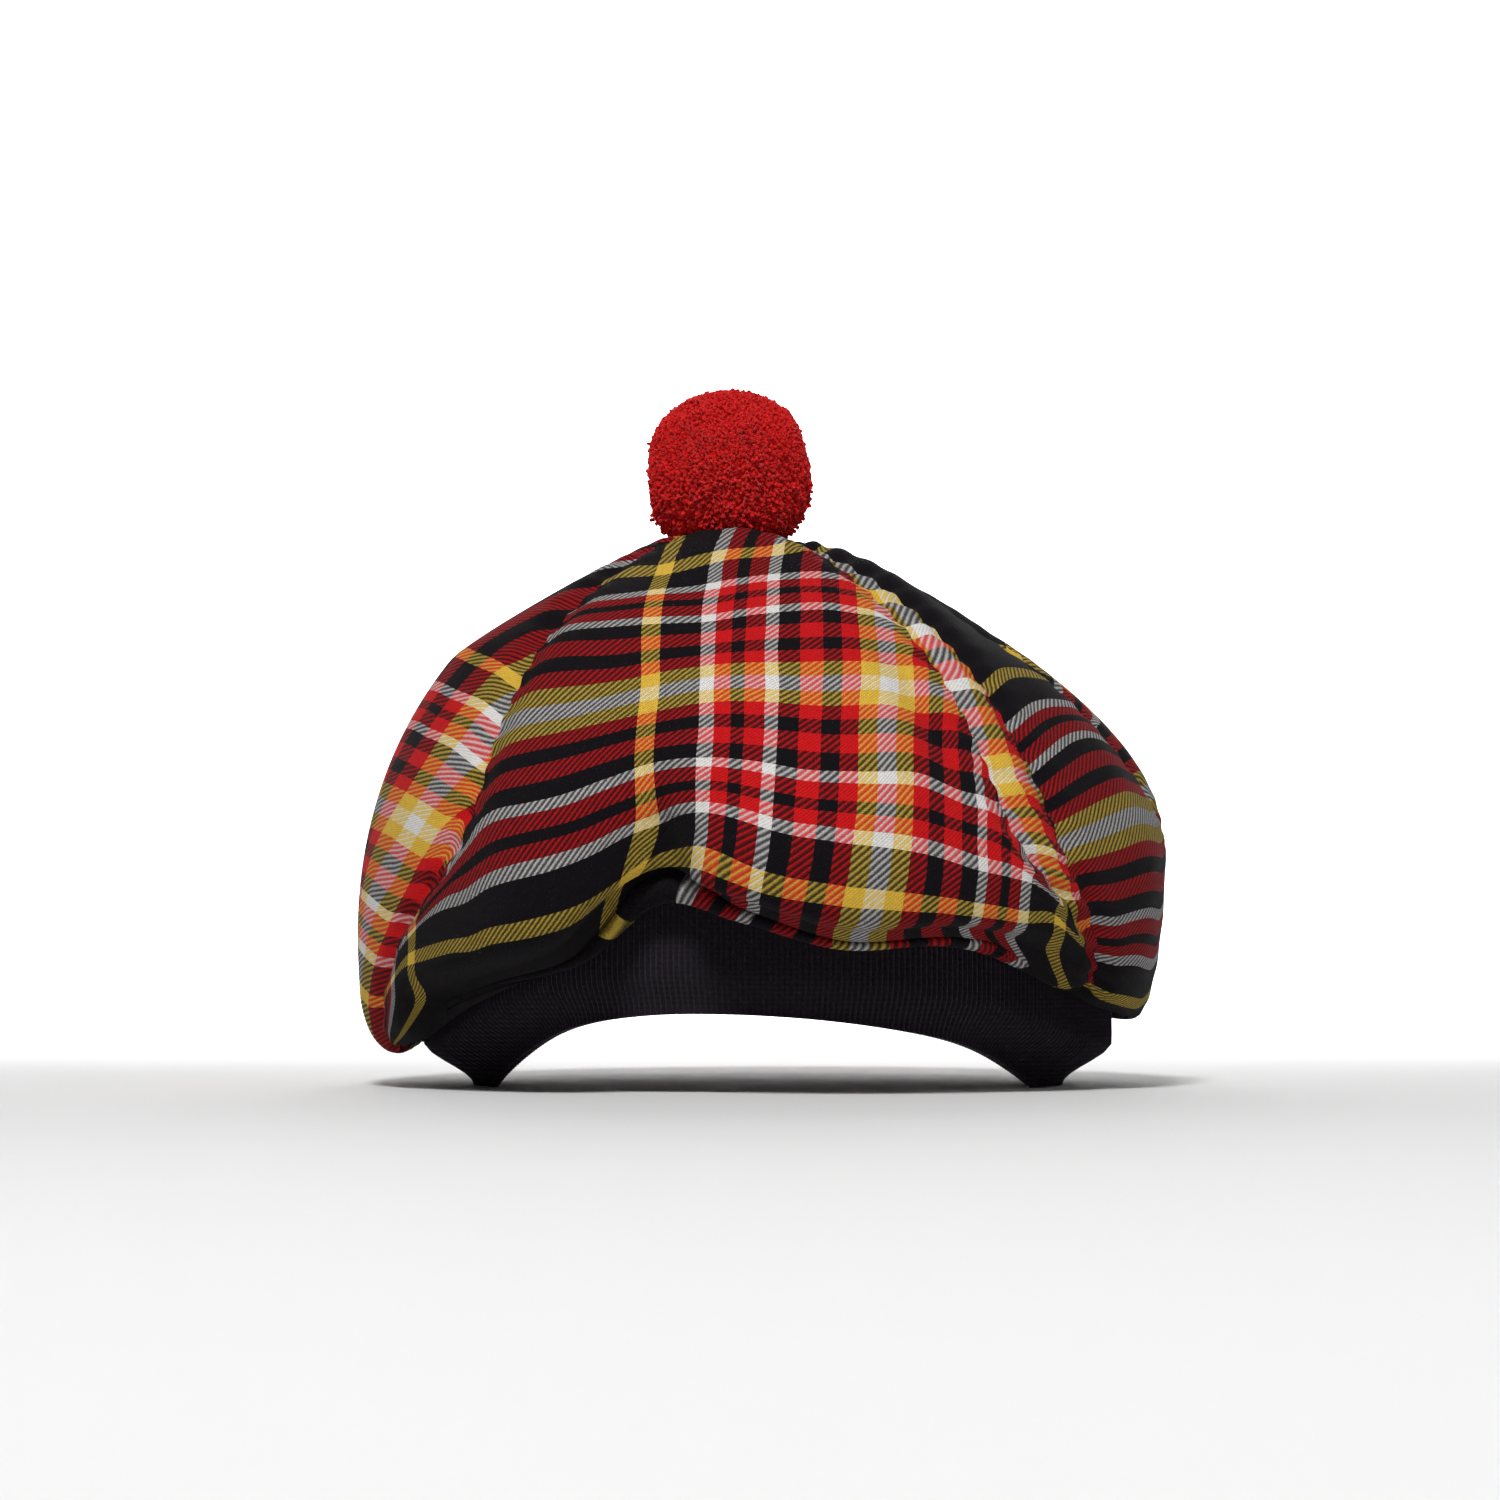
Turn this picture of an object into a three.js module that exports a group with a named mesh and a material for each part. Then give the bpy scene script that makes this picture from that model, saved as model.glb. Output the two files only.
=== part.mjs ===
// Tam o shanter: a soft cap cut from six cloth gores with one narrow leaf-shaped strip,
// gathered onto a knitted headband and topped with a cut-yarn pompom. It rests on its
// headband as it would on a shelf. Millimetres, +Z up, front towards -Y.

import * as THREE from "three";

// Driving dimensions
const CLOTH_WALL = 2.0;
const SEAM_GAP = 0.44;
const LAP_GAP = 0.7;
const LAP_HEIGHT = 4.0;
const APEX_X = -10.0;
const APEX_HEIGHT = 158.0;
const DIMPLE_DEPTH = 5.0;
const DIMPLE_RADIUS = 25.0;
const TIP_RADIUS = 4.0;
const BAND_HALF_WIDTH = 97.0;
const BAND_HALF_DEPTH = 96.0;
const BAND_CENTRE_Y = 6.0;
const BAND_WALL = 2.5;
const BAND_HEIGHT_FRONT = 40.9;
const BAND_HEIGHT_SIDE = 27.0;
const TUCK_FRONT = 4.0;
const TUCK_SIDE = 14.0;
const TUCK_RISE = 12.0;
const ARCH_FRONT = 20.5;
const ARCH_BACK = 21.1;
const ARCH_CENTRE = -13;
const ARCH_HALF_LEFT = 58;
const ARCH_HALF_RIGHT = 79;
const ARCH_HALF_BACK = 78;
const POMPOM_X = -11.0;
const POMPOM_RADIUS = 23.2;
const POMPOM_HEIGHT = 43.7;
const POMPOM_TOP = 196.7;
const LOCK_DEPTH = 1.3;
const SEAM_SINK = 2.2;
const SEAM_SOFTNESS = 5.0;
const STRIP_DEGREES = 9.2;

// Shares of a meridian, from the crown's middle (0) to the headband (1).
const BELLY = 0.70;
const HEM = 0.84;

// One row for each section of the cap. Azimuths are degrees from the front, towards +X.
// Radii and heights are millimetres, power is the exponent of the shoulder's curve.
const SECTIONS = [
  { azimuth: -180, bellyRadius: 125, bellyHeight: 52, hemRadius: 110, hemHeight: 28, power: 1.84 },
  { azimuth: -145, bellyRadius: 122, bellyHeight: 48, hemRadius: 109, hemHeight: 22, power: 1.86 },
  { azimuth: -112, bellyRadius: 117, bellyHeight: 40, hemRadius: 107, hemHeight: 11, power: 1.88 },
  { azimuth: -90, bellyRadius: 115, bellyHeight: 29, hemRadius: 104, hemHeight: 9, power: 2.00 },
  { azimuth: -64, bellyRadius: 115, bellyHeight: 41, hemRadius: 104, hemHeight: 13, power: 1.96 },
  { azimuth: -42, bellyRadius: 118, bellyHeight: 46, hemRadius: 102.5, hemHeight: 22, power: 1.86 },
  { azimuth: -28, bellyRadius: 119, bellyHeight: 54, hemRadius: 99, hemHeight: 29, power: 1.78 },
  { azimuth: -17, bellyRadius: 114, bellyHeight: 70, hemRadius: 96.5, hemHeight: 45, power: 1.72 },
  { azimuth: -6, bellyRadius: 116, bellyHeight: 64, hemRadius: 97, hemHeight: 40, power: 1.70 },
  { azimuth: 10, bellyRadius: 118, bellyHeight: 56, hemRadius: 98.5, hemHeight: 32, power: 1.70 },
  { azimuth: 28, bellyRadius: 117, bellyHeight: 55, hemRadius: 99.5, hemHeight: 33, power: 1.74 },
  { azimuth: 50, bellyRadius: 114, bellyHeight: 50, hemRadius: 101.5, hemHeight: 27, power: 1.76 },
  { azimuth: 72, bellyRadius: 112, bellyHeight: 63, hemRadius: 103, hemHeight: 20, power: 1.55 },
  { azimuth: 92, bellyRadius: 112.5, bellyHeight: 67, hemRadius: 102.5, hemHeight: 18.5, power: 1.55 },
  { azimuth: 118, bellyRadius: 117, bellyHeight: 52, hemRadius: 106, hemHeight: 17, power: 1.74 },
  { azimuth: 146, bellyRadius: 122, bellyHeight: 50, hemRadius: 109, hemHeight: 22, power: 1.78 },
];

// Folds and swells of the cloth: a valley has a negative depth.
const FOLDS = [
  { topAzimuth: -19, footAzimuth: -14, top: 0.50, foot: 0.90, halfWidth: 7, depth: -5.0 },
  { topAzimuth: -34, footAzimuth: -31, top: 0.45, foot: 0.86, halfWidth: 9, depth: 3.0 },
  { topAzimuth: 6, footAzimuth: 8, top: 0.45, foot: 0.86, halfWidth: 12, depth: 2.5 },
  { topAzimuth: 26, footAzimuth: 28, top: 0.34, foot: 0.62, halfWidth: 4.5, depth: -3.5 },
  { topAzimuth: 60, footAzimuth: 64, top: 0.35, foot: 0.86, halfWidth: 9, depth: 2.5 },
  { topAzimuth: 104, footAzimuth: 112, top: 0.50, foot: 0.92, halfWidth: 8, depth: -3.0 },
  { topAzimuth: 158, footAzimuth: 164, top: 0.45, foot: 0.92, halfWidth: 9, depth: -3.0 },
  { topAzimuth: -95, footAzimuth: -95, top: 0.04, foot: 0.37, halfWidth: 45, depth: -9.5 },
  { topAzimuth: 82, footAzimuth: 82, top: 0.34, foot: 0.66, halfWidth: 28, depth: 2.5 },
  { topAzimuth: -146, footAzimuth: -140, top: 0.45, foot: 0.92, halfWidth: 9, depth: -3.5 },
];

// Seams: the azimuth on the crown, the one that it sweeps to below the belly, and how late.
const SEAMS = {
  left: { crown: -40, hem: -78, sweep: 2.2 },
  strip: { crown: 43.4, hem: 56, sweep: 3.4 },
  right: { crown: 73, hem: 87, sweep: 0.5 },
  rearRight: { crown: 137, hem: 139, sweep: 2.2 },
  rearLeft: { crown: -164, hem: -164, sweep: 2.2 },
  farLeft: { crown: -104, hem: -107, sweep: 2.2 },
};

// Gores, each between two seams in the order of rising azimuth, and its number of columns.
const GORES = [
  { name: "gore_front", from: "left", to: "front", columns: 16 },
  { name: "gore_right", from: "strip", to: "right", columns: 7 },
  { name: "gore_rear_right", from: "right", to: "rearRight", columns: 8 },
  { name: "gore_rear", from: "rearRight", to: "rearLeft", columns: 8 },
  { name: "gore_rear_left", from: "rearLeft", to: "farLeft", columns: 8 },
  { name: "gore_left", from: "farLeft", to: "left", columns: 7 },
];

// Pompom's outline: shares of its radius and of its height, from its foot up.
const POMPOM_OUTLINE = [
  { radius: 0.42, height: 0.035 },
  { radius: 0.82, height: 0.09 },
  { radius: 0.955, height: 0.19 },
  { radius: 1.00, height: 0.36 },
  { radius: 1.00, height: 0.52 },
  { radius: 0.93, height: 0.68 },
  { radius: 0.78, height: 0.82 },
  { radius: 0.56, height: 0.92 },
  { radius: 0.29, height: 0.98 },
];

const DEGREE = Math.PI / 180;

function clamp01(x) {
  return Math.min(1, Math.max(0, x));
}

function smooth(x) {
  const s = clamp01(x);
  return s * s * (3 - 2 * s);
}

function turn(azimuth) {
  return ((((azimuth + 180) % 360) + 360) % 360) - 180;
}

// A section's value at any azimuth: a closed run of cubic curves through the rows.
function around(column, azimuth) {
  const a = turn(azimuth);
  const count = SECTIONS.length;
  let i = count - 1;
  while (SECTIONS[i].azimuth > a) {
    i -= 1;
  }
  const pick = (k) => {
    const lap = Math.floor(k / count);
    const row = SECTIONS[k - lap * count];
    return { x: row.azimuth + 360 * lap, y: row[column] };
  };
  const [p, q, r, s] = [pick(i - 1), pick(i), pick(i + 1), pick(i + 2)];
  const h = r.x - q.x;
  const u = (a - q.x) / h;
  const m0 = ((r.y - p.y) / (r.x - p.x)) * h;
  const m1 = ((s.y - q.y) / (s.x - q.x)) * h;
  const u2 = u * u;
  const u3 = u2 * u;
  const ends = (2 * u3 - 3 * u2 + 1) * q.y + (3 * u2 - 2 * u3) * r.y;
  return ends + (u3 - 2 * u2 + u) * m0 + (u3 - u2) * m1;
}

// 1 at the two sides of the head, 0 at its front and back.
function sideShare(azimuth) {
  return smooth((Math.abs(Math.sin(azimuth * DEGREE)) - 0.45) / 0.45);
}

// The headband's upper oval, measured from the vertical axis.
function bandRadius(azimuth) {
  const dx = Math.sin(azimuth * DEGREE);
  const dy = -Math.cos(azimuth * DEGREE);
  const qa = dx ** 2 / BAND_HALF_WIDTH ** 2 + dy ** 2 / BAND_HALF_DEPTH ** 2;
  const qb = (-2 * dy * BAND_CENTRE_Y) / BAND_HALF_DEPTH ** 2;
  const qc = BAND_CENTRE_Y ** 2 / BAND_HALF_DEPTH ** 2 - 1;
  return (-qb + Math.sqrt(qb * qb - 4 * qa * qc)) / (2 * qa);
}

// The headband's lower edge lifts in two arches and rests on the two flats between them.
function archHeight(azimuth) {
  const a = turn(azimuth);
  const off = a - ARCH_CENTRE;
  const half = off < 0 ? ARCH_HALF_LEFT : ARCH_HALF_RIGHT;
  const front = ARCH_FRONT * clamp01(1 - (off / half) ** 2);
  const back = ARCH_BACK * clamp01(1 - ((180 - Math.abs(a)) / ARCH_HALF_BACK) ** 2);
  return Math.max(front, back);
}

function bandHeight(azimuth) {
  return BAND_HEIGHT_FRONT + (BAND_HEIGHT_SIDE - BAND_HEIGHT_FRONT) * sideShare(azimuth);
}

// The free edge draws in below the oval, most at the sides, where it carries the cap.
function bandOuter(azimuth, rise) {
  const tuck = TUCK_FRONT + (TUCK_SIDE - TUCK_FRONT) * sideShare(azimuth);
  return bandRadius(azimuth) - tuck * (1 - smooth(rise / TUCK_RISE));
}

// The wall is as thick across its slope as where it stands upright.
function bandInner(azimuth, rise) {
  const step = 0.2;
  const slope = (bandOuter(azimuth, rise + step) - bandOuter(azimuth, rise - step)) / (2 * step);
  return bandOuter(azimuth, rise) - BAND_WALL * Math.sqrt(1 + slope * slope);
}

// The crown's outer face before its folds: a shoulder, a belly turning under, then the run
// up to the headband.
function plainCrown(azimuth, t) {
  const bellyRadius = around("bellyRadius", azimuth);
  const bellyHeight = around("bellyHeight", azimuth);
  const hemRadius = around("hemRadius", azimuth);
  const hemHeight = around("hemHeight", azimuth);
  const power = around("power", azimuth);
  const direction = azimuth * DEGREE;
  let r = 0;
  let z = 0;
  let lean = 0;
  if (t < BELLY) {
    const phi = (clamp01(t / BELLY) * Math.PI) / 2;
    lean = Math.cos(phi) ** (2 / power);
    r = bellyRadius * Math.sin(phi) ** (2 / power);
    z = bellyHeight + (APEX_HEIGHT - bellyHeight) * lean;
    z -= DIMPLE_DEPTH * (1 - smooth(r / DIMPLE_RADIUS));
  } else if (t < HEM) {
    const psi = (((t - BELLY) / (HEM - BELLY)) * Math.PI) / 2;
    r = hemRadius + (bellyRadius - hemRadius) * Math.cos(psi);
    z = bellyHeight - (bellyHeight - hemHeight) * Math.sin(psi);
  } else {
    const chi = (clamp01((t - HEM) / (1 - HEM)) * Math.PI) / 2;
    const joinRadius = bandRadius(azimuth) + LAP_GAP;
    const joinHeight = archHeight(azimuth) + bandHeight(azimuth) - LAP_HEIGHT;
    r = hemRadius - (hemRadius - joinRadius) * Math.sin(chi);
    z = hemHeight + (joinHeight - hemHeight) * (1 - Math.cos(chi));
  }
  return new THREE.Vector3(r * Math.sin(direction) + APEX_X * lean, -r * Math.cos(direction), z);
}

function outward(surface, azimuth, t) {
  const across = surface(azimuth + 0.2, t).sub(surface(azimuth - 0.2, t));
  const before = Math.max(0.002, t - 0.002);
  const after = Math.min(1, t + 0.002);
  const along = surface(azimuth, after).sub(surface(azimuth, before));
  return along.cross(across).normalize();
}

// Azimuth of a seam at a share of the meridian. The front seam leaves the strip's seam
// at the top and closes in on it again below the belly, which makes the strip's leaf shape.
function seamAzimuth(name, t) {
  if (name === "front") {
    const leaf = clamp01((t - 0.02) / 0.14) * (1 - 0.84 * smooth((t - 0.60) / 0.20));
    return seamAzimuth("strip", t) - STRIP_DEGREES * leaf;
  }
  const row = SEAMS[name];
  return row.crown + (row.hem - row.crown) * smooth((t - 0.48) / 0.34) ** row.sweep;
}

function crown(azimuth, t) {
  const point = plainCrown(azimuth, t);
  let shift = 0;
  for (const fold of FOLDS) {
    const s = clamp01((t - fold.top) / (fold.foot - fold.top));
    const middle = fold.topAzimuth + (fold.footAzimuth - fold.topAzimuth) * s;
    const off = turn(azimuth - middle) / fold.halfWidth;
    shift += fold.depth * Math.sin(Math.PI * s) * Math.exp(-off * off);
  }
  const reach = Math.hypot(point.x - APEX_X / 2, point.y);
  const fade = smooth(t / 0.15) * (1 - smooth((t - 0.86) / 0.10));
  for (const name of [...Object.keys(SEAMS), "front"]) {
    const off = (turn(azimuth - seamAzimuth(name, t)) * DEGREE * reach) / SEAM_SOFTNESS;
    shift -= SEAM_SINK * Math.exp(-off * off) * fade;
  }
  return point.addScaledVector(outward(plainCrown, azimuth, t), shift);
}

function solidFromPoints(points, triangles) {
  const geometry = new THREE.BufferGeometry();
  const positions = points.flatMap((p) => [p.x, p.y, p.z]);
  geometry.setAttribute("position", new THREE.Float32BufferAttribute(positions, 3));
  geometry.setIndex(triangles.flat());
  geometry.computeVertexNormals();
  return geometry;
}

// A closed cloth panel: an outer and an inner grid, joined along their four edges.
function clothPanel(outer, inner) {
  const rows = outer.length;
  const columns = outer[0].length;
  const points = [...outer.flat(), ...inner.flat()];
  const shift = rows * columns;
  const at = (i, j) => i * columns + j;
  const triangles = [];
  const quad = (a, b, c, d) => triangles.push([a, b, c], [a, c, d]);
  for (let i = 0; i < rows - 1; i += 1) {
    for (let j = 0; j < columns - 1; j += 1) {
      quad(at(i, j), at(i + 1, j), at(i + 1, j + 1), at(i, j + 1));
      quad(
        shift + at(i, j),
        shift + at(i, j + 1),
        shift + at(i + 1, j + 1),
        shift + at(i + 1, j),
      );
    }
  }
  const wall = (a, b) => quad(a, b, shift + b, shift + a);
  for (let i = 0; i < rows - 1; i += 1) {
    quad(at(i, 0), shift + at(i, 0), shift + at(i + 1, 0), at(i + 1, 0));
    wall(at(i, columns - 1), at(i + 1, columns - 1));
  }
  for (let j = 0; j < columns - 1; j += 1) {
    wall(at(0, j), at(0, j + 1));
    wall(at(rows - 1, j + 1), at(rows - 1, j));
  }
  return solidFromPoints(points, triangles);
}

// Shares of the meridian for a panel's rows: close together where the cloth turns under.
function rowShares(first, last, count) {
  const shares = [];
  for (let i = 0; i <= count; i += 1) {
    const s = i / count;
    shares.push(first + (last - first) * (1.25 * s - 0.25 * s * s));
  }
  return shares;
}

// Columns sit close to the seams, where the cloth sinks.
function columnShares(count) {
  const shares = [];
  for (let j = 0; j <= count; j += 1) {
    const s = j / count;
    shares.push(0.62 * s + 0.38 * smooth(s));
  }
  return shares;
}

// Half of the gap between two panels, in degrees, squared up where the seam runs aslant.
function seamInset(name, t) {
  const azimuth = seamAzimuth(name, t);
  const degree = crown(azimuth + 0.5, t).distanceTo(crown(azimuth - 0.5, t));
  const after = Math.min(1, t + 0.01);
  const along = crown(azimuth, after).distanceTo(crown(azimuth, t - 0.01));
  const aslant = (seamAzimuth(name, after) - seamAzimuth(name, t - 0.01)) * degree;
  return (SEAM_GAP / 2 / degree) * Math.hypot(1, aslant / along);
}

// Ease widens the gap on both sides of a panel: the strip is stiff where it turns under.
function panelBetween(fromSeam, toSeam, shares, columns, ease = 1) {
  const outer = [];
  const inner = [];
  for (const t of shares) {
    const first = seamAzimuth(fromSeam, t) + ease * seamInset(fromSeam, t);
    const last = seamAzimuth(toSeam, t) - ease * seamInset(toSeam, t);
    const span = (((last - first) % 360) + 360) % 360;
    const outerRow = [];
    const innerRow = [];
    for (const s of columnShares(columns)) {
      const azimuth = first + span * s;
      const point = crown(azimuth, t);
      outerRow.push(point);
      innerRow.push(point.clone().addScaledVector(outward(crown, azimuth, t), -CLOTH_WALL));
    }
    outer.push(outerRow);
    inner.push(innerRow);
  }
  return clothPanel(outer, inner);
}

function headband() {
  const columns = 72;
  const rises = [0, 0.12, 0.25, 0.42, 0.7, 1.0];
  const points = [];
  for (let j = 0; j < columns; j += 1) {
    const azimuth = (j * 360) / columns - 180;
    const rowOf = (radius, rise) => new THREE.Vector3(
      radius * Math.sin(azimuth * DEGREE),
      -radius * Math.cos(azimuth * DEGREE),
      archHeight(azimuth) + rise,
    );
    const height = bandHeight(azimuth);
    for (const share of rises) {
      points.push(rowOf(bandOuter(azimuth, share * height), share * height));
    }
    for (const share of [...rises].reverse()) {
      points.push(rowOf(bandInner(azimuth, share * height), share * height));
    }
  }
  const ring = rises.length * 2;
  const triangles = [];
  for (let j = 0; j < columns; j += 1) {
    const here = j * ring;
    const next = ((j + 1) % columns) * ring;
    for (let k = 0; k < ring; k += 1) {
      const above = (k + 1) % ring;
      triangles.push([here + k, next + k, next + above], [here + k, next + above, here + above]);
    }
  }
  return solidFromPoints(points, triangles);
}

// The pompom's locks stand out of its head in a staggered pattern.
function pompom() {
  const columns = 22;
  const foot = POMPOM_TOP - POMPOM_HEIGHT;
  const points = [new THREE.Vector3(POMPOM_X, 0, foot)];
  POMPOM_OUTLINE.forEach((row, i) => {
    for (let j = 0; j < columns; j += 1) {
      const raised = (i + j) % 2 === 0 && i > 1 ? LOCK_DEPTH : 0;
      const sunk = (i + j) % 2 !== 0 && i > 1 ? LOCK_DEPTH : 0;
      const radius = POMPOM_RADIUS * row.radius + (raised - sunk) * row.radius;
      const angle = ((j + 0.5 * (i % 2)) * 2 * Math.PI) / columns;
      const lift = (raised - sunk) * (row.height - 0.5);
      points.push(new THREE.Vector3(
        POMPOM_X + radius * Math.sin(angle),
        -radius * Math.cos(angle),
        foot + POMPOM_HEIGHT * row.height + lift,
      ));
    }
  });
  points.push(new THREE.Vector3(POMPOM_X, 0, POMPOM_TOP));
  const rows = POMPOM_OUTLINE.length;
  const at = (i, j) => 1 + i * columns + (j % columns);
  const triangles = [];
  for (let j = 0; j < columns; j += 1) {
    triangles.push([0, at(0, j + 1), at(0, j)]);
    triangles.push([points.length - 1, at(rows - 1, j), at(rows - 1, j + 1)]);
    for (let i = 0; i < rows - 1; i += 1) {
      triangles.push([at(i, j), at(i, j + 1), at(i + 1, j + 1)]);
      triangles.push([at(i, j), at(i + 1, j + 1), at(i + 1, j)]);
    }
  }
  return solidFromPoints(points, triangles);
}

const tartan = new THREE.MeshStandardMaterial({ color: 0x7a2226, roughness: 0.92, metalness: 0 });
const knit = new THREE.MeshStandardMaterial({ color: 0x1a151d, roughness: 0.95, metalness: 0 });
const yarn = new THREE.MeshStandardMaterial({ color: 0xaa1418, roughness: 0.95, metalness: 0 });

const group = new THREE.Group();

function add(name, geometry, material) {
  const mesh = new THREE.Mesh(geometry, material);
  mesh.name = name;
  group.add(mesh);
}

const tipShare = (BELLY * 2 * Math.asin((TIP_RADIUS / 117) ** 0.94)) / Math.PI;
for (const gore of GORES) {
  const shares = rowShares(tipShare, 1, 20);
  add(gore.name, panelBetween(gore.from, gore.to, shares, gore.columns), tartan);
}
const leafShares = rowShares(tipShare, 1, 20).slice(1);
add("side_strip", panelBetween("front", "strip", leafShares, 4, 1.8), tartan);
add("headband", headband(), knit);
add("pompom", pompom(), yarn);

// The origin is under the middle of the whole cap, on the surface that it rests on.
const box = new THREE.Box3().setFromObject(group);
group.position.set(-(box.min.x + box.max.x) / 2, -(box.min.y + box.max.y) / 2, -box.min.z);
group.updateMatrixWorld(true);

export default group;
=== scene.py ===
# %% [markdown]
# # Tam o shanter
# A tam o shanter is a soft round cap. Six cloth gores and one narrow strip make the crown,
# a ribbed knit band grips the head, and a pompom hides the point where the gores meet.
# The packed model is loaded first. It gives the frame, so each piece made below goes
# straight to its place. Its box is kept.

# %% Load the frame
import bpy
import numpy as np
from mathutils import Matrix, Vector


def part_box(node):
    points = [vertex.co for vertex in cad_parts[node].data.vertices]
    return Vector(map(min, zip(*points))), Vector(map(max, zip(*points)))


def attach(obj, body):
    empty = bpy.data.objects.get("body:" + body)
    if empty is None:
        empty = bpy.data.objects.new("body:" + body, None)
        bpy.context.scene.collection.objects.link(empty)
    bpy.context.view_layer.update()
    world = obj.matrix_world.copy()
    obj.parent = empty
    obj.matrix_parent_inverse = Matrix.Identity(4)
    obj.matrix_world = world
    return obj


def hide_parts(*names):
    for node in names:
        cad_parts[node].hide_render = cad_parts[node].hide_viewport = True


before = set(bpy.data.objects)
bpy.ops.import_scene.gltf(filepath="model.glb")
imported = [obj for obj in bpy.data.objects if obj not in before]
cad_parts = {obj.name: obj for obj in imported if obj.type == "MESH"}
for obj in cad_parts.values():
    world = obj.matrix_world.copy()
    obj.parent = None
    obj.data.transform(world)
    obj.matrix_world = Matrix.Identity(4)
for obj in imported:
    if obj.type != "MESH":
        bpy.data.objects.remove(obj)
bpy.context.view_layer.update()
MM = 0.001

# %% [markdown]
# The cap is worked out around the headband's upright axis, in millimetres. The model's
# origin is under the middle of the whole cap instead, so the headband's box says how far
# the axis is from it. Seam, lap and wall sizes are those of sewn wool and rib knit.

# %% Sizes and the headband's axis
CLOTH_WALL = 2.0
SEAM_GAP = 0.16
LAP_GAP = 0.7
LAP_HEIGHT = 4.0
APEX_X = -10.0
APEX_HEIGHT = 158.0
DIMPLE_DEPTH = 5.0
DIMPLE_RADIUS = 25.0
BAND_HALF_WIDTH = 97.0
BAND_HALF_DEPTH = 96.0
BAND_CENTRE_Y = 6.0
BAND_WALL = 2.5
BAND_HEIGHT_FRONT, BAND_HEIGHT_SIDE = 40.9, 27.0
TUCK_FRONT, TUCK_SIDE, TUCK_RISE = 4.0, 14.0, 12.0
ARCH_FRONT, ARCH_BACK = 20.5, 21.1
ARCH_CENTRE, ARCH_HALF_LEFT, ARCH_HALF_RIGHT, ARCH_HALF_BACK = -13, 58, 79, 78
BELLY, HEM = 0.70, 0.84

band_low, band_high = (np.array(corner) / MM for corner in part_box("headband"))
AXIS = np.array([(band_low[0] + band_high[0]) / 2,
                 (band_low[1] + band_high[1]) / 2 - BAND_CENTRE_Y, 0.0])
print("headband axis in millimetres:", AXIS.round(3))

# %% [markdown]
# A slumped cap is different in every direction, so its outline is a short table: one row
# for each azimuth, counted from the front towards +X. Between the rows the values follow
# smooth cubic curves that close round the cap, so no edge shows where two rows meet.

# %% The table of sections
SECTION_COLUMNS = ("azimuth", "belly_radius", "belly_height", "hem_radius", "hem_height", "power")
SECTIONS = np.array([
    (-180, 125, 52, 110, 28, 1.84),
    (-145, 122, 48, 109, 22, 1.86),
    (-112, 117, 40, 107, 11, 1.88),
    (-90, 115, 29, 104, 9, 2.00),
    (-64, 115, 41, 104, 13, 1.96),
    (-42, 118, 46, 102.5, 22, 1.86),
    (-28, 119, 54, 99, 29, 1.78),
    (-17, 114, 70, 96.5, 45, 1.72),
    (-6, 116, 64, 97, 40, 1.70),
    (10, 118, 56, 98.5, 32, 1.70),
    (28, 117, 55, 99.5, 33, 1.74),
    (50, 114, 50, 101.5, 27, 1.76),
    (72, 112, 63, 103, 20, 1.55),
    (92, 112.5, 67, 102.5, 18.5, 1.55),
    (118, 117, 52, 106, 17, 1.74),
    (146, 122, 50, 109, 22, 1.78),
], float)


def smooth(x):
    """Ease from 0 to 1: three times x squared less twice x cubed, held outside 0 to 1."""
    x = np.clip(x, 0, 1)
    return x * x * (3 - 2 * x)


def turned(azimuth):
    """The same azimuth, between -180 and 180 degrees."""
    return (np.asarray(azimuth, float) + 180) % 360 - 180


def around(column, azimuth):
    """A section's value: cubic Hermite between its rows, with slopes across each row."""
    place = SECTIONS[:, 0]
    value = SECTIONS[:, SECTION_COLUMNS.index(column)]
    azimuth = turned(azimuth)
    count = len(place)
    row = np.clip(np.searchsorted(place, azimuth, side="right") - 1, 0, count - 1)
    px = np.concatenate([[place[-1] - 360], place, place[:2] + 360])
    py = np.concatenate([[value[-1]], value, value[:2]])
    x0, x1, y0, y1 = px[row + 1], px[row + 2], py[row + 1], py[row + 2]
    after_x = np.where(row + 3 < len(px), px[np.minimum(row + 3, len(px) - 1)], px[-1])
    after_y = np.where(row + 3 < len(py), py[np.minimum(row + 3, len(py) - 1)], py[-1])
    slope0 = (y1 - py[row]) / (x1 - px[row])
    slope1 = (after_y - y0) / (after_x - x0)
    width = x1 - x0
    s = (azimuth - x0) / width
    return ((2 * s**3 - 3 * s**2 + 1) * y0 + (s**3 - 2 * s**2 + s) * width * slope0
            + (3 * s**2 - 2 * s**3) * y1 + (s**3 - s**2) * width * slope1)


print(len(SECTIONS), "sections, belly from", SECTIONS[:, 1].min(), "to", SECTIONS[:, 1].max(), "mm")

# %% [markdown]
# The knit band is an oval wall. Its free edge draws in where it carries the cap, at the
# two sides, and lifts in an arch at the front and at the back, as a band worn over a
# forehead does.

# %% The headband's outline
SIDE_START, SIDE_RUN = 0.45, 0.45


def side_share(azimuth):
    """1 at the two sides of the head, easing to 0 at its front and back."""
    return smooth((np.abs(np.sin(np.radians(azimuth))) - SIDE_START) / SIDE_RUN)


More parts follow.
